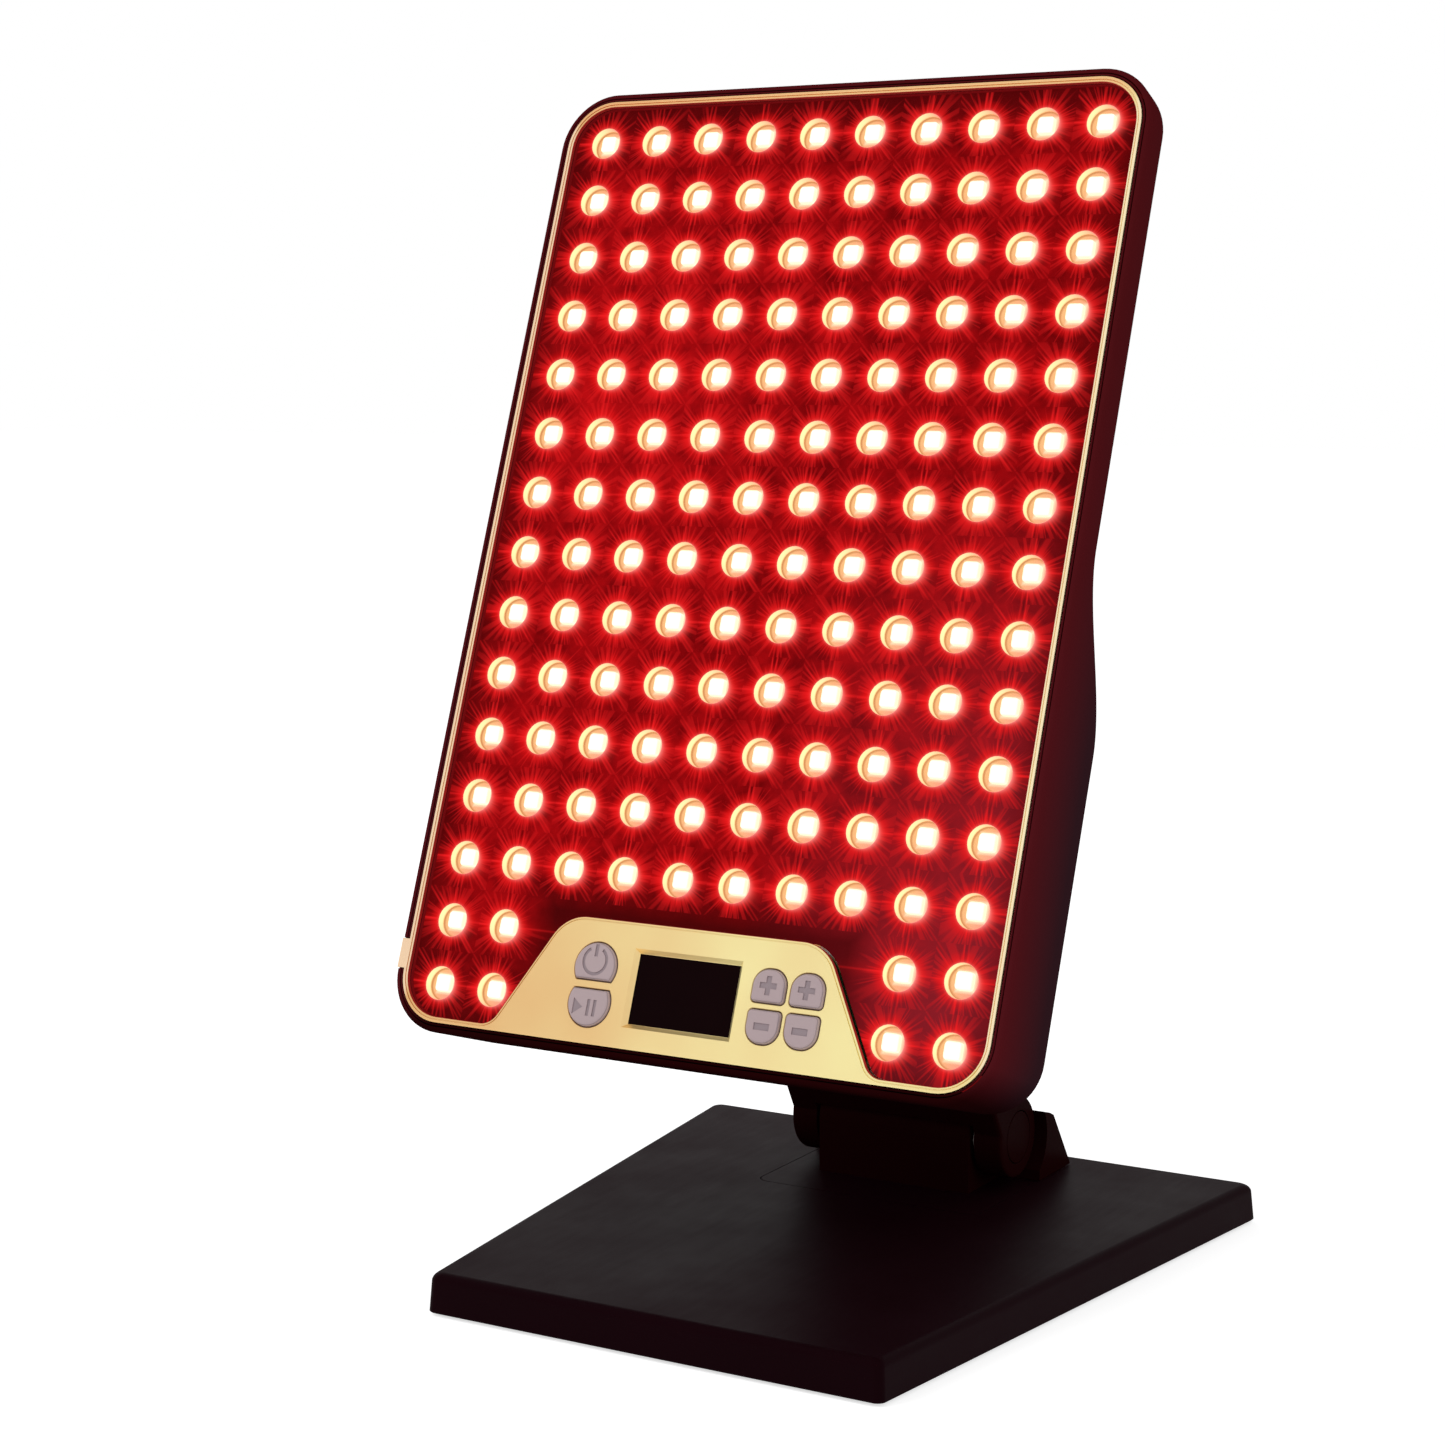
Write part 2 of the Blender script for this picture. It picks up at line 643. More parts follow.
bar = bmesh.new()
edge_in = ((0.0, ARM_EDGE), (ARM_EDGE * 0.3, ARM_EDGE * 0.3), (ARM_EDGE, 0.0))
slices = [(x - EAR_OUTER, arm_outline(inset)) for x, inset in edge_in]
side_prism(bar, slices + [(EAR_OUTER - x, arm_outline(inset)) for x, inset in edge_in[::-1]])
forks = bmesh.new()
bores = bmesh.new()
pockets = bmesh.new()
for u in (0.0, reach.length):
    turned(forks, [(CROTCH_R, -EAR_INNER), (CROTCH_R, EAR_INNER)], along_x(u, 0.0), 72)
    turned(bores, [(PIN_R + GAP, -EAR_OUTER - MM), (PIN_R + GAP, EAR_OUTER + MM)], along_x(u, 0.0))
    for side in (-1, 1):
        ends = [(CAP_R + GAP, side * (EAR_OUTER - CAP_T - GAP)), (CAP_R + GAP, side * (EAR_OUTER + MM))]
        turned(pockets, ends, along_x(u, 0.0), 48)
bm = combine(bar, [("DIFFERENCE", forks), ("DIFFERENCE", bores), ("DIFFERENCE", pockets)])
folding_arm = piece_from("folding_arm", bm, [painted_black], arm_place)
soften(folding_arm, 0.35 * MM)
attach(folding_arm, "arm")
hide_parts("arm")

for end, u in (("base", 0.0), ("head", reach.length)):
    for label, side in (("left", -1), ("right", 1)):
        bm = bmesh.new()
        profile = [(CAP_R, side * (EAR_OUTER - CAP_T)), (CAP_R, side * (EAR_OUTER - 0.1 * MM))]
        turned(bm, profile + [(CAP_R - 0.1 * MM, side * EAR_OUTER)], along_x(u, 0.0), 48)
        cap = piece_from(f"{end}_axle_cap_{label}", bm, [painted_black], arm_place)
        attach(cap, "arm")
        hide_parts(f"{end}_hinge_cap_{label}")

# Head housing: one moulded tub, thin behind the upper lights and thick below, with an S-shaped step between,
# drafted sides, screw wells at the back and a notch at the left for the gold tongue. From here on, pieces are
# drawn as the head lies: x to the right, y down the face, z into the panel, from the grid's middle.

HEAD_MIDDLE = (0.0, -32.0 * MM, 210.5 * MM)
HEAD_LEAN = math.radians(20.73)
HEAD_PLACE = Matrix.Translation(HEAD_MIDDLE) @ Matrix.Rotation(-math.pi / 2 - HEAD_LEAN, 4, "X")
HEAD_HALF_X = 95.8 * MM
HEAD_HALF_Y = 143.1 * MM
HEAD_CORNER = 16.9 * MM
SHELL_WALL = 1.6 * MM
SHELL_DRAFT = math.tan(math.radians(3.0))
RIM_Z = -3.8 * MM
RIM_EDGE = 1.4 * MM
THIN_Z = 9.7 * MM
THICK_Z = 35.0 * MM
THIN_FILLET = 4.0 * MM
THICK_FILLET = 8.0 * MM
SWELL_Y = 16.8 * MM
SWELL_HALF = 26.0 * MM
TONGUE_TOP = 117.55 * MM
TONGUE_BOTTOM = 126.1 * MM


def swell(y):
    """0 in the thin upper part, 1 in the thick lower part, and an S-curve between."""
    t = min(max((y - SWELL_Y + SWELL_HALF) / (2 * SWELL_HALF), 0.0), 1.0)
    return t * t * (3 - 2 * t)


def shell_draft(z):
    """How far the side leans in at depth z."""
    return SHELL_DRAFT * max(z - RIM_Z - RIM_EDGE, 0.0)


def shell_outline():
    """The head's outline as (x, y, outward x, outward y), with points along the sides through the swell."""
    points = []
    cx, cy = HEAD_HALF_X - HEAD_CORNER, HEAD_HALF_Y - HEAD_CORNER
    for x, y in arc((cx, -cy), HEAD_CORNER, -math.pi / 2, 0.0, 14):
        points.append((x, y, (x - cx) / HEAD_CORNER, (y + cy) / HEAD_CORNER))
    for i in range(33):
        points.append((HEAD_HALF_X, SWELL_Y + SWELL_HALF * (i / 16 - 1), 1.0, 0.0))
    for x, y in arc((cx, cy), HEAD_CORNER, 0.0, math.pi / 2, 14):
        points.append((x, y, (x - cx) / HEAD_CORNER, (y - cy) / HEAD_CORNER))
    return points + [(-x, y, -ax, ay) for x, y, ax, ay in reversed(points)]


bm = bmesh.new()
insets = [(SHELL_WALL, 4.0 * MM), (SHELL_WALL, RIM_Z + 0.1 * MM), (SHELL_WALL - 0.1 * MM, RIM_Z)]
insets += [(RIM_EDGE * (1 - math.sin(turn)), RIM_Z + RIM_EDGE * (1 - math.cos(turn))) for turn in quarter(6)]
loops = [[(x - ax * inset, y - ay * inset, z) for x, y, ax, ay in shell_outline()] for inset, z in insets]
for turn in quarter(10):
    loop = []
    for x, y, ax, ay in shell_outline():
        radius = THIN_FILLET + (THICK_FILLET - THIN_FILLET) * swell(y)
        z = THIN_Z + (THICK_Z - THIN_Z) * swell(y) - radius * (1 - math.sin(turn))
        inset = shell_draft(z) + radius * (1 - math.cos(turn))
        loop.append((x - ax * inset, y - ay * inset, z))
    loops.append(loop)
rings = [[bm.verts.new(p) for p in loop] for loop in loops]
join_rings(bm, rings)
bm.faces.new(rings[0][::-1])
last = rings[-1]
for i in range(len(last) // 2 - 1):
    bm.faces.new((last[i], last[i + 1], last[-2 - i], last[-1 - i]))

RING_HALF_X = 93.05 * MM
RING_HALF_Y = 140.35 * MM
RING_W = 1.65 * MM
RING_CORNER = 14.15 * MM
TRIM_Z = -4.0 * MM
TRIM_T = 1.4 * MM
OPENING_HALF_X = RING_HALF_X - RING_W
OPENING_HALF_Y = RING_HALF_Y - RING_W
OPENING_CORNER = RING_CORNER - RING_W
SCREW_IN_X = OPENING_HALF_X - 4.8 * MM
SCREW_IN_Y = OPENING_HALF_Y - 4.8 * MM
screw_places = [(side * SCREW_IN_X * across, SCREW_IN_Y * down)
                for across, down in ((1.0, -0.42), (0.6, -1.0), (0.6, 1.0)) for side in (-1, 1)]
HOUSING_SEAT = THIN_Z - SCREW_HEAD_H - 2 * GAP
INLET = (-58.0 * MM, 116.0 * MM)
INLET_R = 5.5 * MM
notch_floor = TRIM_Z + TRIM_T + GAP


def tongue_notch(left, right, floor):
    """The cut at the left that leaves room for the gold tongue."""
    notch = bmesh.new()
    shape = rectangle(left, right, TONGUE_TOP - GAP, TONGUE_BOTTOM + GAP)
    loft(notch, [(shape, RIM_Z - MM), (shape, floor)])
    return notch


screw_wells = bmesh.new()
for x, y in screw_places:
    profile = [(SCREW_R + GAP, 6.0 * MM), (SCREW_R + GAP, HOUSING_SEAT), (SCREW_HEAD_R + GAP, HOUSING_SEAT)]
    turned(screw_wells, profile + [(SCREW_HEAD_R + GAP, THICK_Z + MM)], Matrix.Translation((x, y, 0.0)))
inlet_hole = [(INLET_R + GAP, THICK_Z - 8 * MM), (INLET_R + GAP, THICK_Z + MM)]
turned(screw_wells, inlet_hole, Matrix.Translation((*INLET, 0.0)))
notch = tongue_notch(-HEAD_HALF_X - MM, -HEAD_HALF_X + SHELL_WALL + MM, notch_floor)
bm = combine(bm, [("DIFFERENCE", notch), ("DIFFERENCE", screw_wells)])


def parts_of(tree, vector):
    """The X, Y and Z sockets of a vector."""
    node = tree.nodes.new("ShaderNodeSeparateXYZ")
    tree.links.new(vector, node.inputs["Vector"])
    return node.outputs


# The sides glow red next to the ring and fade with depth; the foot and the back stay plain black.
housing_black = finish("housing_black", moulded, ((0.066, 0.0044, 0.0056), (0.100, 0.0066, 0.0080)),
                       (0.36, 0.48), 0.025 * MM, shine=0.0)
tree = housing_black.node_tree
housing_colour = tree.nodes["Principled BSDF"].inputs["Base Color"]
upper_tone = housing_colour.links[0].from_socket
place_in_head = parts_of(tree, tree.nodes["Texture Coordinate"].outputs["Object"])
looks_to = parts_of(tree, tree.nodes["Texture Coordinate"].outputs["Normal"])
depth_share = spread(tree, place_in_head["Z"], -3 * MM, 24 * MM, 0.0, 1.0)
deep_tone = mix_colours(tree, depth_share, (0.092, 0.0085, 0.0120), (0.031, 0.0120, 0.0165))
lower_share = spread(tree, place_in_head["Y"], -60 * MM, 50 * MM, 0.45, 0.95)
side_tone = mix_colours(tree, lower_share, upper_tone, deep_tone)
back_share = spread(tree, looks_to["Z"], 0.25, 0.70, 0.0, 1.0)
back_tone = mix_colours(tree, back_share, side_tone, (0.022, 0.0125, 0.0140))
foot_share = spread(tree, place_in_head["Y"], 132 * MM, 141 * MM, 0.0, 0.9)
tree.links.new(mix_colours(tree, foot_share, back_tone, (0.010, 0.0008, 0.0010)), housing_colour)
head_housing = piece_from("head_housing", bm, [housing_black], HEAD_PLACE)
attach(head_housing, "head")
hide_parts("rear_housing")

HOUSING_SCREW_L = 3.0 * MM
for number, (x, y) in enumerate(screw_places, 1):
    screw(f"housing_cross_screw_{number}", f"housing_screw_{number}", x, y, HOUSING_SEAT + GAP, -1,
          HOUSING_SCREW_L, black_zinc, "head", HEAD_PLACE)

# Front frame: a black moulded ring inside the housing's rim that carries the gold trim; a fine gap shows
# between the two.

BEZEL_FLANGE = 9.0 * MM
BEZEL_SHELF = 5.1 * MM
BEZEL_BACK = 6.5 * MM


def box_outline(half_x, half_y, corner, inset=0.0):
    half_x, half_y = half_x - inset, half_y - inset
    return rounded(rectangle(-half_x, half_x, -half_y, half_y), [corner - inset] * 4, 14)


bezel = (HEAD_HALF_X - SHELL_WALL - GAP, HEAD_HALF_Y - SHELL_WALL - GAP, HEAD_CORNER - SHELL_WALL - GAP)
ring = (RING_HALF_X + GAP, RING_HALF_Y + GAP, RING_CORNER + GAP)
opening = (OPENING_HALF_X, OPENING_HALF_Y, OPENING_CORNER)
bm = bmesh.new()
layers = [(box_outline(*bezel, 0.2 * MM), RIM_Z), (box_outline(*bezel), RIM_Z + 0.2 * MM)]
layers += [(box_outline(*bezel, 0.6 * MM), BEZEL_BACK), (box_outline(*opening, BEZEL_FLANGE), BEZEL_BACK)]
layers += [(box_outline(*opening, BEZEL_FLANGE), BEZEL_SHELF), (box_outline(*opening), BEZEL_SHELF)]
layers += [(box_outline(*opening), notch_floor), (box_outline(*ring), notch_floor)]
layers += [(box_outline(*ring), RIM_Z + 0.15 * MM), (box_outline(*ring, -0.15 * MM), RIM_Z)]
rings = loft(bm, layers, low_cap=False, high_cap=False)
join_rings(bm, [rings[-1], rings[0]])
bm = combine(bm, [("DIFFERENCE", tongue_notch(-HEAD_HALF_X, -RING_HALF_X + GAP, notch_floor))])


def lit_paint(name, unlit, shine=0.5):
    """A paint that gives off its own colour; unlit is what it shows by lamplight."""
    made, tree, shader = new_paint(name)
    shader.inputs["Emission Strength"].default_value = 1.0
    shader.inputs["Base Color"].default_value = (*unlit, 1.0)
    shader.inputs["Specular IOR Level"].default_value = shine
    return made, tree, shader


frame_lit, tree, shader = lit_paint("frame_lit_red", (0.02, 0.002, 0.002), shine=0.0)
frame_grain = place_group(tree, moulded)
tree.links.new(mix_colours(tree, frame_grain.outputs["Tone"], (0.10, 0.002, 0.003), (0.17, 0.004, 0.005)),
               shader.inputs["Emission Color"])
for face in bm.faces:
    middle = face.calc_center_median()
    upright = abs(face.normal.z) < 0.1 and notch_floor < middle.z < BEZEL_SHELF
    if upright and max(abs(middle.x) - OPENING_HALF_X, abs(middle.y) - OPENING_HALF_Y) < 0.01 * MM:
        face.material_index = 1
inner_frame = piece_from("inner_frame", bm, [housing_black, frame_lit], HEAD_PLACE)
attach(inner_frame, "head")
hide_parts("front_bezel")

# Gold trim: one moulding, plated satin gold and laid on the front frame. A thin ring with a lowered inner lip
# runs round the lights. At the foot it widens into the control panel, which has a bevelled display window and
# six openings for keys.

FASCIA_TOP = 105.35 * MM
FASCIA_TOP_HALF = 41.4 * MM
FASCIA_SLOPE = 0.5625
FASCIA_CORNER = 12.0 * MM
FASCIA_FOOT_R = 6.0 * MM
WINDOW_HALF = 16.0 * MM
WINDOW_TOP = 113.7 * MM
WINDOW_BOTTOM = 133.25 * MM
WINDOW_BEVEL = 1.2 * MM
TRIM_EDGE = 0.18 * MM
ROUND_KEY_X = -28.7 * MM
ROUND_KEY_R = 6.65 * MM
ROUND_KEY_FLAT = 3.65 * MM
SQUARE_KEY_HALF_X = 5.0 * MM
SQUARE_KEY_HALF_Y = 4.5 * MM


def opening_outline(clearance):
    """The opening over the lights, drawn in by clearance; a negative value reaches out over the gold."""
    half_x = OPENING_HALF_X - clearance
    half_y = OPENING_HALF_Y - clearance
    lean = clearance * math.hypot(1, FASCIA_SLOPE)
    top = FASCIA_TOP - clearance
    foot_half = FASCIA_TOP_HALF + FASCIA_SLOPE * (half_y - FASCIA_TOP) + lean
    top_half = FASCIA_TOP_HALF + FASCIA_SLOPE * (top - FASCIA_TOP) + lean
    points = [(-half_x, -half_y), (half_x, -half_y), (half_x, half_y), (foot_half, half_y), (top_half, top)]
    points += [(-top_half, top), (-foot_half, half_y), (-half_x, half_y)]
    corner = OPENING_CORNER - clearance
    foot = FASCIA_FOOT_R - clearance
    shoulder = FASCIA_CORNER + clearance
    return rounded(points, [corner] * 3 + [foot, shoulder, shoulder, foot, corner], 12)


def trim_outline(inset):
    """The outer edge of the gold, with the tongue that reaches over the housing's left side."""
    half = RING_HALF_X - inset
    tall = RING_HALF_Y - inset
    far = HEAD_HALF_X - GAP - inset
    points = rectangle(-half, half, -tall, tall) + [(-half, TONGUE_BOTTOM - inset)]
    points += [(-far, TONGUE_BOTTOM - inset), (-far, TONGUE_TOP + inset), (-half, TONGUE_TOP + inset)]
    corner = RING_CORNER - inset
    last = RING_HALF_Y - TONGUE_BOTTOM - GAP / 2
    return rounded(points, [corner] * 3 + [last - inset] + [0.0] * 4, 12)


def window_outline(margin):
    half = WINDOW_HALF + margin
    return rectangle(-half, half, WINDOW_TOP - margin, WINDOW_BOTTOM + margin)


def round_key(middle_y, flat_side):
    """A round key with one side cut flat; flat_side is 1 where the flat looks down the face."""
    def shape(grow):
        radius = ROUND_KEY_R + grow
        flat = ROUND_KEY_FLAT + grow
        a = math.asin(flat / radius)
        x = math.sqrt(radius * radius - flat * flat)
        points = arc((0.0, 0.0), radius, math.pi - a, 2 * math.pi + a, 40)
        points += [(x * (1 - i / 8 * 2), flat) for i in range(1, 8)]
        return [(ROUND_KEY_X + px, middle_y + flat_side * py) for px, py in points]
    return shape


def square_key(middle_x, middle_y, round_side):
    """A key with two large corners; round_side is -1 where they are at its upper edge."""
    def shape(grow):
        half_x = SQUARE_KEY_HALF_X + grow
        half_y = SQUARE_KEY_HALF_Y + grow
        big = 4.5 * MM + grow
        small = 1.2 * MM + grow
        points = rounded(rectangle(-half_x, half_x, -half_y, half_y), [big, big, small, small], 10)
        return [(middle_x + px, middle_y - round_side * py) for px, py in points]
    return shape


keys = [("power_key", round_key(118.9 * MM, 1)), ("pause_key", round_key(128.95 * MM, -1))]
for pair, middle_x in (("level", 26.6 * MM), ("time", 38.3 * MM)):
    keys.append((f"{pair}_up_key", square_key(middle_x, 118.3 * MM, -1)))
    keys.append((f"{pair}_down_key", square_key(middle_x, 129.4 * MM, 1)))

bm = bmesh.new()
back = TRIM_Z + TRIM_T


def edge_wall(*layers):
    """A wall of the trim, from its back up to its face."""
    return loft(bm, layers, low_cap=False, high_cap=False)


outer = edge_wall((trim_outline(0.0), back), (trim_outline(0.0), TRIM_Z + TRIM_EDGE),
                  (trim_outline(TRIM_EDGE * 0.3), TRIM_Z + TRIM_EDGE * 0.3),
                  (trim_outline(TRIM_EDGE), TRIM_Z))
lip = [(0.0, back), (0.0, TRIM_Z + 0.42 * MM), (-0.06, TRIM_Z + 0.30 * MM), (-0.16, TRIM_Z + 0.26 * MM)]
lip += [(-0.58, TRIM_Z + 0.14 * MM), (-0.62, TRIM_Z + 0.42 * MM), (-0.82, TRIM_Z + 0.42 * MM)]
lip += [(-0.86, TRIM_Z + 0.06 * MM), (-0.92, TRIM_Z)]
inner = edge_wall(*[(opening_outline(out * MM), z) for out, z in lip])
bm.faces.ensure_lookup_table()
first_wall_faces = bm.faces[-len(inner[0]) * (len(lip) - 1):][:len(inner[0]) * 3]
for face in first_wall_faces:
    face.material_index = 1
walls = [outer, inner]
walls.append(edge_wall((window_outline(0.0), back), (window_outline(0.15 * MM), back - 0.1 * MM),
                       (window_outline(WINDOW_BEVEL), TRIM_Z)))
for _, shape in keys:
    walls.append(edge_wall((shape(GAP), back), (shape(GAP), TRIM_Z + TRIM_EDGE),
                           (shape(GAP + TRIM_EDGE), TRIM_Z)))
fill(bm, [rings[-1] for rings in walls])
fill(bm, [rings[0] for rings in walls])



def subtract(tree, first, second):
    return calc(tree, "SUBTRACT", first, second)


# Satin plating: very fine pits and slow warm patches.
plated, plate_in, plate_out = new_group(
    "satin_plating",
    [("Vector", "NodeSocketVector", None)],
    [("Height", "NodeSocketFloat"), ("Tone", "NodeSocketFloat"), ("Sheen", "NodeSocketFloat")])
fine = noise(plated, plate_in.outputs["Vector"], 5200.0, 2.0, 0.5)
slow = noise(plated, plate_in.outputs["Vector"], 24.0, 2.0, 0.5)
to_right = spread(plated, parts_of(plated, plate_in.outputs["Vector"])["X"], -80 * MM, 20 * MM, 0.15, 0.90)
plated.links.new(fine, plate_out.inputs["Height"])
plate_warmth = add(plated, to_right, multiply(plated, subtract(plated, slow, 0.5), 0.8))
plate_sheen = add(plated, multiply(plated, slow, 0.6), multiply(plated, fine, 0.4))
plated.links.new(plate_warmth, plate_out.inputs["Tone"])
plated.links.new(plate_sheen, plate_out.inputs["Sheen"])
satin_gold = finish("satin_gold", plated, ((0.74, 0.36, 0.14), (0.92, 0.80, 0.38)), (0.28, 0.40), 0.01 * MM,
                    metal=0.85)
lip_gold = finish("lip_gold", plated, ((0.30, 0.020, 0.012), (0.40, 0.040, 0.026)), (0.35, 0.45), 0.01 * MM,
                  metal=0.3, shine=0.1)
tree = satin_gold.node_tree
gold_colour = tree.nodes["Principled BSDF"].inputs["Base Color"]
plate_tone = gold_colour.links[0].from_socket
place_in_head = parts_of(tree, tree.nodes["Texture Coordinate"].outputs["Object"])
pale_side = spread(tree, calc(tree, "ABSOLUTE", place_in_head["X"]), 90 * MM, 91.5 * MM, 0.0, 0.55)
plate_tone = mix_colours(tree, pale_side, plate_tone, (1.0, 0.82, 0.62))
warm_top = spread(tree, place_in_head["Y"], -138.5 * MM, -133 * MM, 0.75, 0.0)
tree.links.new(mix_colours(tree, warm_top, plate_tone, (0.84, 0.45, 0.20)), gold_colour)
lip_shader = lip_gold.node_tree.nodes["Principled BSDF"]
lip_shader.inputs["Emission Color"].default_value = (0.055, 0.0030, 0.0040, 1.0)
lip_shader.inputs["Emission Strength"].default_value = 1.0
gold_frame = piece_from("gold_frame", bm, [satin_gold, lip_gold], HEAD_PLACE, crease=28)
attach(gold_frame, "head")
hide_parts("gold_trim")

# Lights: 138 square packages soldered on a pale circuit board, each at the foot of a round well in a moulded
# dark mask that lies over the board, a little to its left. They are lit: the packages are white-hot, the well
# walls glow, and thin rays cross the mask.

PITCH_X = 18.0 * MM
PITCH_Y = 18.357 * MM
LED = 5.0 * MM
LED_CORNER = 1.2 * MM
WELL_R = 4.75 * MM
WELL_EDGE = 0.12 * MM
WELL_OFF = (-0.3, 0.35)
PACKAGE_OFF = (-0.3, 0.0)
MASK_Z = -1.4 * MM
MASK_T = 2.5 * MM
BOARD_Z = 1.4 * MM
BOARD_T = 1.6 * MM
light_places = []
for row in range(15):
    for column in range(10):
        if row < 13 or min(column, 9 - column) < 2:
            light_places.append(((column - 4.5) * PITCH_X, (row - 7) * PITCH_Y))

# Where a point lies from the middle of the light or well it belongs to: across and down in millimetres.
nearest, near_in, near_out = new_group(
    "from_nearest_light",
    [("Vector", "NodeSocketVector", None), ("Off X", "NodeSocketFloat", 0.0),
     ("Off Y", "NodeSocketFloat", 0.0)],
    [("Across", "NodeSocketFloat"), ("Down", "NodeSocketFloat"), ("Distance", "NodeSocketFloat")])


def choose(tree, share, first, second):
    """The first number where share is 0, the second where it is 1."""
    return add(tree, first, multiply(tree, share, subtract(tree, second, first)))


def whole_step(tree, value, last):
    """The value rounded to a whole number from 0 to last."""
    return calc(tree, "MINIMUM", calc(tree, "MAXIMUM", calc(tree, "ROUND", value), 0.0), last)


on_mask = parts_of(nearest, near_in.outputs["Vector"])
column_at = add(nearest, calc(nearest, "DIVIDE", on_mask["X"], PITCH_X), 4.5)
row_at = add(nearest, calc(nearest, "DIVIDE", on_mask["Y"], PITCH_Y), 7.0)
row = whole_step(nearest, row_at, 14.0)
column = whole_step(nearest, column_at, 9.0)
right_half = calc(nearest, "GREATER_THAN", column_at, 4.5)
side_column = choose(nearest, right_half, calc(nearest, "MINIMUM", column, 1.0),
                     calc(nearest, "MAXIMUM", column, 8.0))
column = choose(nearest, calc(nearest, "GREATER_THAN", row, 12.5), column, side_column)
across = multiply(nearest, subtract(nearest, column_at, column), PITCH_X / MM)
across = subtract(nearest, across, near_in.outputs["Off X"])
down = multiply(nearest, subtract(nearest, row_at, row), PITCH_Y / MM)
down = subtract(nearest, down, near_in.outputs["Off Y"])
squares = add(nearest, multiply(nearest, across, across), multiply(nearest, down, down))
distance = calc(nearest, "SQRT", squares)
nearest.links.new(across, near_out.inputs["Across"])
nearest.links.new(down, near_out.inputs["Down"])
nearest.links.new(distance, near_out.inputs["Distance"])

# The glow on the mask: a soft halo round each well, fine rays, thin lines that join the lights, and tones
# that change slowly over the whole face.
glow, glow_in, glow_out = new_group(
    "mask_glow",
    [("Vector", "NodeSocketVector", None)],
    [(name, "NodeSocketFloat") for name in ("Halo", "Rays", "Haze", "Lit", "Near", "Bright", "Veil")])
local = glow.nodes.new("ShaderNodeGroup")
local.node_tree = nearest
glow.links.new(glow_in.outputs["Vector"], local.inputs["Vector"])
local.inputs["Off X"].default_value, local.inputs["Off Y"].default_value = WELL_OFF
across, down = local.outputs["Across"], local.outputs["Down"]
side_way = calc(glow, "ABSOLUTE", across)
long_way = calc(glow, "ABSOLUTE", down)
away = calc(glow, "MAXIMUM", local.outputs["Distance"], 0.001)
beyond = calc(glow, "MAXIMUM", subtract(glow, away, WELL_R / MM), 0.0)
on_mask = parts_of(glow, glow_in.outputs["Vector"])


def fade(distance, rate):
    """1 at no distance; the rate is below 0, and the value falls with distance."""
    return calc(glow, "EXPONENT", multiply(glow, distance, rate))


# The halo is wider and brighter on the right of a well.
lean_right = add(glow, multiply(glow, across, 0.9), multiply(glow, down, 0.42))
rightward = calc(glow, "POWER", calc(glow, "MAXIMUM", calc(glow, "DIVIDE", lean_right, away), 0.0), 2.0)
halo = multiply(glow, fade(beyond, subtract(glow, multiply(glow, rightward, 2.1), 3.4)),
                add(glow, multiply(glow, rightward, 0.60), 0.38))

# Rays: noise by direction, which differs slowly from well to well.
heading = glow.nodes.new("ShaderNodeCombineXYZ")
glow.links.new(calc(glow, "DIVIDE", across, away), heading.inputs["X"])
glow.links.new(calc(glow, "DIVIDE", down, away), heading.inputs["Y"])
by_well = add(glow, multiply(glow, on_mask["X"], 6.0), multiply(glow, on_mask["Y"], 4.0))
glow.links.new(by_well, heading.inputs["Z"])


def spikes(scale, taper):
    """Rays that start at the well's rim and narrow to a point further out."""
    over = subtract(glow, noise(glow, heading.outputs["Vector"], scale, 0.0),
                    add(glow, multiply(glow, beyond, taper), 0.47))
    return spread(glow, over, 0.0, 0.11, 0.0, 1.0)


def thin_line(offset, width):
    return fade(calc(glow, "POWER", calc(glow, "DIVIDE", offset, width), 2.0), -1.0)


def fading_line(offset, width, at_well, far_out):
    """A thin line that is stronger next to a well than between two wells."""
    return multiply(glow, thin_line(offset, width), add(glow, multiply(glow, far_fade, at_well), far_out))


far_fade = fade(beyond, -0.20)
rays = multiply(glow, calc(glow, "MAXIMUM", spikes(7.5, 0.022), spikes(14.0, 0.028)), far_fade, 0.55)
beside_column = subtract(glow, side_way, add(glow, multiply(glow, long_way, -0.03), 0.95))
slant = calc(glow, "ABSOLUTE", subtract(glow, down, multiply(glow, across, PITCH_Y / PITCH_X)))
ray_sum = add(glow, rays, fading_line(long_way, 0.30, 0.6, 0.14),
              fading_line(calc(glow, "ABSOLUTE", beside_column), 0.28, 0.45, 0.10),
              fading_line(calc(glow, "ABSOLUTE", subtract(glow, slant, 0.75)), 0.36, 0.30, 0.12))

# The red next to a rim and along a row, and the mottled red between, with a darker line down each column.
rim_share = calc(glow, "MAXIMUM", subtract(glow, 1.0, calc(glow, "DIVIDE", beyond, 3.4)), 0.0)
row_band = multiply(glow, thin_line(long_way, 2.3), far_fade)
rim_glow = multiply(glow, calc(glow, "POWER", rim_share, 1.2), 0.62)
near_rim = add(glow, rim_glow, multiply(glow, row_band, 0.42))
mottle = add(glow, multiply(glow, noise(glow, glow_in.outputs["Vector"], 190.0, 2.0, 0.6), 0.55),
             multiply(glow, noise(glow, glow_in.outputs["Vector"], 60.0, 1.0), 0.45))
column_line = multiply(glow, thin_line(side_way, 0.45), 0.40)
haze = subtract(glow, spread(glow, mottle, 0.35, 0.65, 0.0, 1.0), column_line)

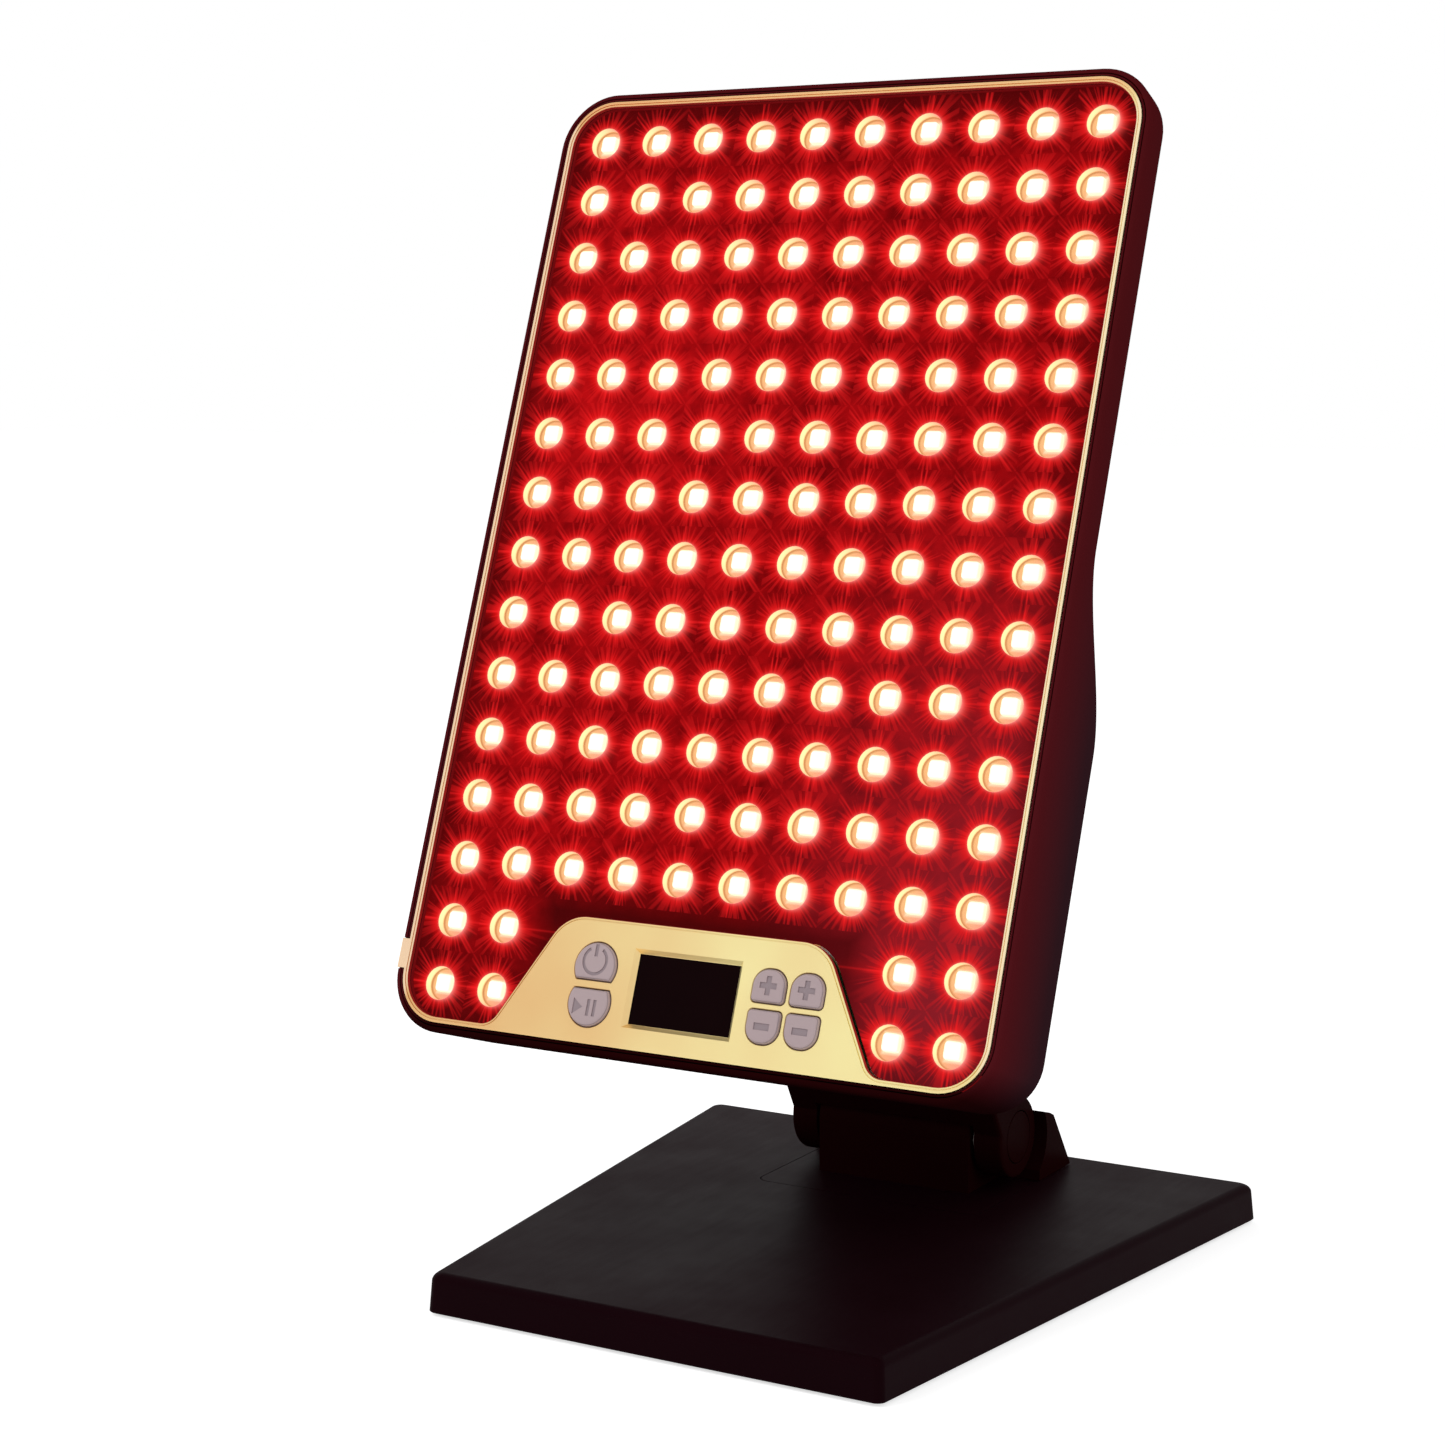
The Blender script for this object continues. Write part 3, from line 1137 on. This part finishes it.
# Slow tones: dim along the edges and above the controls, brighter at the left, veiled at the lower right.
from_side = calc(glow, "ABSOLUTE", on_mask["X"])
over_controls = calc(glow, "MAXIMUM", spread(glow, on_mask["Y"], 90 * MM, 104 * MM, 1.0, 0.05),
                     spread(glow, from_side, 46 * MM, 60 * MM, 0.0, 1.0))
lit_area = multiply(glow, spread(glow, from_side, 76 * MM, 93 * MM, 1.0, 0.12),
                    spread(glow, on_mask["Y"], -139 * MM, -119 * MM, 0.10, 1.0),
                    spread(glow, on_mask["Y"], 106 * MM, 139 * MM, 1.0, 0.10), over_controls)
bright_left = multiply(glow, spread(glow, on_mask["X"], -50 * MM, 12 * MM, 0.50, 0.0),
                       spread(glow, on_mask["Y"], -128 * MM, -70 * MM, 0.0, 1.0),
                       spread(glow, on_mask["Y"], -40 * MM, 10 * MM, 1.0, 0.3))
veil = multiply(glow, spread(glow, on_mask["X"], 10 * MM, 85 * MM, 0.0, 0.9),
                spread(glow, on_mask["Y"], -30 * MM, 135 * MM, 0.0, 1.0),
                spread(glow, lit_area, 0.05, 0.60, 0.30, 1.0))
for name, value in (("Halo", halo), ("Rays", ray_sum), ("Haze", haze), ("Lit", lit_area), ("Near", near_rim),
                    ("Bright", bright_left), ("Veil", veil)):
    glow.links.new(value, glow_out.inputs[name])

mask_red, tree, shader = new_paint("mask_red")
glowing = place_group(tree, glow).outputs
tone = mix_colours(tree, glowing["Haze"], (0.150, 0.0009, 0.0018), (0.345, 0.0024, 0.0038))
left_tone = mix_colours(tree, glowing["Haze"], (0.300, 0.0018, 0.0034), (0.610, 0.0052, 0.0070))
tone = mix_colours(tree, glowing["Bright"], tone, left_tone)
tone = mix_colours(tree, glowing["Lit"], (0.055, 0.0014, 0.0018), tone)
for name, colour in (("Veil", (0.27, 0.0155, 0.0250)), ("Near", (0.95, 0.0070, 0.0070)),
                     ("Rays", (0.90, 0.014, 0.016)), ("Halo", (1.0, 0.32, 0.28))):
    tone = mix_colours(tree, glowing[name], tone, colour)
tree.links.new(tone, shader.inputs["Emission Color"])
shader.inputs["Emission Strength"].default_value = 1.0
mask_grain = place_group(tree, moulded, Grain_Scale=1500.0)
unlit_tone = mix_colours(tree, mask_grain.outputs["Tone"], (0.006, 0.0004, 0.0006), (0.012, 0.0008, 0.0012))
tree.links.new(unlit_tone, shader.inputs["Base Color"])
tree.links.new(bump(tree, mask_grain.outputs["Height"], 0.02 * MM), shader.inputs["Normal"])
shader.inputs["Roughness"].default_value = 0.5
shader.inputs["Specular IOR Level"].default_value = 0.0

# The walls of the wells: yellow on the left, pink on the right, and darker at the board.
well_lit, tree, shader = lit_paint("well_wall_lit", (0.10, 0.02, 0.01))
from_light = place_group(tree, nearest, Off_X=WELL_OFF[0], Off_Y=WELL_OFF[1]).outputs
lit_side = add(tree, multiply(tree, from_light["Across"], -0.966), multiply(tree, from_light["Down"], -0.259))
warm = spread(tree, calc(tree, "DIVIDE", lit_side, from_light["Distance"]), -0.3, 1.0, 0.0, 1.0)
wall_tone = mix_colours(tree, warm, (1.0, 0.27, 0.20), (1.0, 0.97, 0.46))
place_in_head = parts_of(tree, tree.nodes["Texture Coordinate"].outputs["Object"])
foot_shade = spread(tree, place_in_head["Z"], 0.4 * MM, 1.2 * MM, 0.0, 1.0)
tree.links.new(mix_colours(tree, foot_shade, wall_tone, (0.72, 0.34, 0.10)), shader.inputs["Emission Color"])
shader.inputs["Roughness"].default_value = 0.4

bm = bmesh.new()
front_edge = opening_outline(GAP)
mask_rings = loft(bm, [(front_edge, MASK_Z + MASK_T), (front_edge, MASK_Z)], low_cap=False, high_cap=False)
wells = []
for x, y in light_places:
    x, y = x + WELL_OFF[0] * MM, y + WELL_OFF[1] * MM
    layers = [(circle(x, y, WELL_R, 28), MASK_Z + MASK_T), (circle(x, y, WELL_R, 28), MASK_Z + WELL_EDGE)]
    layers += [(circle(x, y, WELL_R + WELL_EDGE, 28), MASK_Z)]
    wells.append(loft(bm, layers, low_cap=False, high_cap=False, material=1))
fill(bm, [mask_rings[1]] + [rings[-1] for rings in wells])
fill(bm, [mask_rings[0]] + [rings[0] for rings in wells])
well_mask = piece_from("well_mask", bm, [mask_red, well_lit], HEAD_PLACE)
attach(well_mask, "head")
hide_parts("led_mask")

# The board glows orange to pink in each well, is darker in the corner beside the wall, and blooms next to the
# package; the package itself is white, and pale yellow along its rim.
board_lit, tree, shader = lit_paint("board_lit", (0.10, 0.05, 0.03))
from_light = place_group(tree, nearest, Off_X=PACKAGE_OFF[0], Off_Y=PACKAGE_OFF[1]).outputs
floor_side = add(tree, from_light["Across"], multiply(tree, from_light["Down"], 0.4))
floor_share = spread(tree, floor_side, -3.5, 3.5, 0.0, 1.0)
floor_tone = mix_colours(tree, floor_share, (0.87, 0.46, 0.19), (0.93, 0.30, 0.20))
from_well = place_group(tree, nearest, Off_X=WELL_OFF[0], Off_Y=WELL_OFF[1])
corner_line = spread(tree, from_well.outputs["Distance"], 4.1, 4.6, 0.0, 0.75)
floor_tone = mix_colours(tree, corner_line, floor_tone, (0.50, 0.20, 0.06))


def reach_out(from_light, off_x, off_y):
    """The larger of the distances across and down, so that a line of one value is a square."""
    return calc(tree, "MAXIMUM", calc(tree, "ABSOLUTE", subtract(tree, from_light["Across"], off_x)),
                calc(tree, "ABSOLUTE", subtract(tree, from_light["Down"], off_y)))


bloom = spread(tree, reach_out(from_light, 0.2, 0.1), 2.2, 3.3, 0.9, 0.0)
tree.links.new(mix_colours(tree, bloom, floor_tone, (1.0, 0.90, 0.62)), shader.inputs["Emission Color"])

package_lit, tree, shader = lit_paint("package_lit", (0.30, 0.28, 0.22), shine=0.1)
from_light = place_group(tree, nearest, Off_X=PACKAGE_OFF[0], Off_Y=PACKAGE_OFF[1]).outputs
rim_share = spread(tree, reach_out(from_light, 0.0, 0.0), 1.7, 2.5, 0.0, 1.0)
package_tone = mix_colours(tree, rim_share, (1.0, 1.0, 1.0), (1.0, 0.92, 0.62))
tree.links.new(package_tone, shader.inputs["Emission Color"])

bm = bmesh.new()
board_rings = loft(bm, [(front_edge, BOARD_Z + BOARD_T), (front_edge, BOARD_Z)], high_cap=False)
feet = []
for x, y in light_places:
    x, y = x + PACKAGE_OFF[0] * MM, y + PACKAGE_OFF[1] * MM
    half = LED / 2
    side = rounded(rectangle(x - half, x + half, y - half, y + half), [LED_CORNER] * 4, 4)
    half *= 0.94
    top = rounded(rectangle(x - half, x + half, y - half, y + half), [LED_CORNER - 0.15 * MM] * 4, 4)
    feet.append(loft(bm, [(side, BOARD_Z), (side, 0.15 * MM), (top, 0.0)], low_cap=False, material=1)[0])
fill(bm, [board_rings[1]] + feet)
light_board = piece_from("light_board", bm, [board_lit, package_lit], HEAD_PLACE)
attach(light_board, "head")
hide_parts("led_board")

# Front cover: one clear moulded sheet over the mask, held by the gold ring. It only adds a faint gloss to its
# front, more at a flat angle.

PANE_Z = -2.7 * MM
PANE_T = 1.0 * MM
PANE_EDGE = 0.15 * MM

clear_sheet, tree, shader = new_paint("clear_sheet")
shader.inputs["Base Color"].default_value = (1.0, 1.0, 1.0, 1.0)
shader.inputs["Metallic"].default_value = 1.0
shader.inputs["Roughness"].default_value = 0.06
glance = tree.nodes.new("ShaderNodeFresnel")
glance.inputs["IOR"].default_value = 1.45
facing = tree.nodes.new("ShaderNodeNewGeometry")
front_only = subtract(tree, 0.10, multiply(tree, facing.outputs["Backfacing"], 0.10))
low_glance = calc(tree, "MAXIMUM", subtract(tree, glance.outputs["Fac"], 0.06), 0.0)
tree.links.new(multiply(tree, low_glance, front_only), shader.inputs["Alpha"])
bm = bmesh.new()
layers = [(front_edge, PANE_Z + PANE_T), (front_edge, PANE_Z + PANE_EDGE)]
loft(bm, layers + [(opening_outline(GAP + PANE_EDGE), PANE_Z)])
front_sheet = piece_from("front_sheet", bm, [clear_sheet], HEAD_PLACE)
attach(front_sheet, "head")
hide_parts("front_window")

# Keys: six soft grey rubber caps with a rounded edge, moulded one by one and held behind the trim by a
# flange. Each has its common sign pressed in: power, start and stop, plus and minus.

KEY_Z = -5.0 * MM
KEY_ROUND = 0.9 * MM
KEY_FLANGE_Z = -2.3 * MM
KEY_BACK_Z = -1.5 * MM
SIGN_DEPTH = 0.28 * MM


def bar_sign(x0, x1, y0, y1):
    return rectangle(x0 * MM, x1 * MM, y0 * MM, y1 * MM)


def ring_sign(radius, width, gap_half):
    start = -math.pi / 2 + gap_half
    end = 3 * math.pi / 2 - gap_half
    outer = arc((0.0, 0.0), (radius + width / 2) * MM, start, end, 36)
    return outer + arc((0.0, 0.0), (radius - width / 2) * MM, end, start, 36)


plus_sign = [(2.6, -0.8), (2.6, 0.8), (0.8, 0.8), (0.8, 2.6), (-0.8, 2.6), (-0.8, 0.8)]
plus_sign += [(-2.6, 0.8), (-2.6, -0.8), (-0.8, -0.8), (-0.8, -2.6), (0.8, -2.6), (0.8, -0.8)]
plus_sign = [(x * MM, y * MM) for x, y in plus_sign]
play_sign = [(-4.6 * MM, -2.3 * MM), (-1.4 * MM, 0.0), (-4.6 * MM, 2.3 * MM)]
minus_sign = bar_sign(-2.4, 2.4, -0.95, 0.95)
signs = {
    "power_key": [ring_sign(3.7, 0.9, 0.55), bar_sign(-0.55, 0.55, -4.6, -1.2)],
    "pause_key": [play_sign, bar_sign(-0.1, 0.9, -2.3, 2.3), bar_sign(1.9, 2.9, -2.3, 2.3)],
    "level_up_key": [plus_sign], "time_up_key": [plus_sign],
    "level_down_key": [minus_sign], "time_down_key": [minus_sign],
}
# Where a key's flange reaches out: left, right, up and down. It stops short beside the next key.
flange_reach = {
    "power_key": (1, 1, 1, 0), "pause_key": (1, 1, 0, 1), "level_up_key": (1, 0, 1, 0),
    "level_down_key": (1, 0, 0, 1), "time_up_key": (0, 1, 1, 0), "time_down_key": (0, 1, 0, 1),
}
key_grey = finish("key_grey", moulded, ((0.47, 0.36, 0.37), (0.55, 0.43, 0.44)), (0.48, 0.60), 0.02 * MM,
                  shine=0.35, Grain_Scale=3000.0)
sign_grey = finish("sign_grey", moulded, ((0.33, 0.26, 0.28), (0.39, 0.31, 0.33)), (0.6, 0.7), 0.02 * MM,
                   shine=0.2, Grain_Scale=3000.0)


def middle_of(values):
    return (min(values) + max(values)) / 2


for name, shape in keys:
    outline = shape(0.0)
    middle_x = middle_of([x for x, _ in outline])
    middle_y = middle_of([y for _, y in outline])
    left, right, upper, lower = (MM if side else GAP / 2 for side in flange_reach[name])
    flange = [(x - left if x < middle_x else x + right, y - upper if y < middle_y else y + lower)
              for x, y in outline]
    cap = bmesh.new()
    layers = [(flange, KEY_BACK_Z), (flange, KEY_FLANGE_Z), (outline, KEY_FLANGE_Z)]
    for turn in quarter(5):
        layers.append((shape(-KEY_ROUND * (1 - math.cos(turn))), KEY_Z + KEY_ROUND * (1 - math.sin(turn))))
    loft(cap, layers)
    cutter = bmesh.new()
    for sign in signs[name]:
        shifted = [(x + middle_x, y + middle_y) for x, y in sign]
        loft(cutter, [(shifted, KEY_Z - MM), (shifted, KEY_Z + SIGN_DEPTH)])
    bm = combine(cap, [("DIFFERENCE", cutter)])
    for face in bm.faces:
        if abs(face.calc_center_median().z - KEY_Z - SIGN_DEPTH) < 0.02 * MM:
            face.material_index = 1
    key = piece_from(name.replace("_key", "_cap"), bm, [key_grey, sign_grey], HEAD_PLACE)
    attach(key, name)
    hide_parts(name)

# Display: a smoked acrylic window, cut from sheet and stuck under the trim. The display module behind it is
# cast in dark resin, and shows nothing.

smoked, tree, shader = new_paint("smoked_window")
haze_mark = place_group(tree, moulded, Grain_Scale=900.0).outputs
tree.links.new(mix_colours(tree, haze_mark["Tone"], (0.0040, 0.0004, 0.0008), (0.0070, 0.0008, 0.0014)),
               shader.inputs["Base Color"])
tree.links.new(spread(tree, haze_mark["Sheen"], 0.3, 0.7, 0.05, 0.12), shader.inputs["Roughness"])
shader.inputs["Specular IOR Level"].default_value = 0.02
coat("display_window", smoked)
resin = finish("component_resin", moulded, ((0.018, 0.016, 0.016), (0.035, 0.032, 0.032)), (0.5, 0.65),
               0.03 * MM)
coat("display_module", resin)

# Inside: two green circuit boards, for the key switches and for the driver, and the rolled aluminium plate
# with pressed-in spacers that carries the light board and cools it.

solder_mask = finish("solder_mask", moulded, ((0.010, 0.060, 0.026), (0.022, 0.110, 0.050)), (0.30, 0.42),
                     0.02 * MM, Grain_Scale=1200.0)
rolled_aluminium = finish("rolled_aluminium", worked, ((0.66, 0.67, 0.69), (0.80, 0.81, 0.83)), (0.30, 0.45),
                          0.02 * MM, metal=1.0)
coat("control_board", solder_mask)
coat("driver_board", solder_mask)
coat("heat_spreader", rolled_aluminium)

# Power inlet: a round low-voltage socket, moulded in dark plastic and pushed into the rear wall from outside.
# Its centre pin stands in the bore.

socket_plastic = finish("socket_plastic", moulded, ((0.014, 0.012, 0.013), (0.028, 0.024, 0.025)),
                        (0.34, 0.46), 0.02 * MM, shine=0.4)
bm = bmesh.new()
out = THICK_Z + GAP + MM
profile = [(0.6 * MM, out - 2.0 * MM), (MM, out - 2.4 * MM), (MM, out - 9.0 * MM), (2.9 * MM, out - 9.0 * MM)]
profile += [(2.9 * MM, out - 0.35 * MM), (3.25 * MM, out), (6.4 * MM, out), (7.0 * MM, out - 0.5 * MM)]
profile += [(7.0 * MM, THICK_Z + GAP), (INLET_R, THICK_Z + GAP), (INLET_R, out - 9.9 * MM)]
turned(bm, profile, Matrix.Translation((*INLET, 0.0)), 48)
round_socket = piece_from("round_socket", bm, [socket_plastic], HEAD_PLACE)
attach(round_socket, "head")
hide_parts("power_inlet")

# Head bracket: a painted casting, a plate with the knuckle that the arm's upper ears turn on. Four
# zinc-plated cross-head screws hold it to the thick rear face.

HEAD_PLATE_HALF = 35.0 * MM
HEAD_PLATE_T = 2.0 * MM
BRACKET_AXIS = (56.0 * MM, THICK_Z + 16.0 * MM)
upper, lower = BRACKET_AXIS[0] - 15.5 * MM, BRACKET_AXIS[0] + 26.0 * MM
plate_low = THICK_Z + GAP
plate_outer = plate_low + HEAD_PLATE_T
plate_shape = rounded(rectangle(-HEAD_PLATE_HALF, HEAD_PLATE_HALF, upper, lower), [PLATE_CORNER] * 4)
plate = bmesh.new()
loft(plate, [(plate_shape, plate_low), (plate_shape, plate_outer)])
bm = combine(plate, [("UNION", knuckle_block(BRACKET_AXIS, plate_low + MM)),
                     ("DIFFERENCE", pin_bore(BRACKET_AXIS, KNUCKLE_HALF))])
rear_bracket = piece_from("rear_bracket", bm, [painted_black], HEAD_PLACE)
soften(rear_bracket, 0.5 * MM)
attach(rear_bracket, "head")
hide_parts("head_bracket")
BRACKET_SCREW_X = HEAD_PLATE_HALF - 3.9 * MM
BRACKET_SCREW_IN = 3.6 * MM
BRACKET_SCREW_L = 6.0 * MM
rows = (upper + BRACKET_SCREW_IN, lower - BRACKET_SCREW_IN)
for number, (side, y) in enumerate([(side, y) for side in (-1, 1) for y in rows], 1):
    screw(f"bracket_cross_screw_{number}", f"head_bracket_screw_{number}", side * BRACKET_SCREW_X, y,
          plate_outer + GAP, -1, BRACKET_SCREW_L, zinc, "head", HEAD_PLACE)
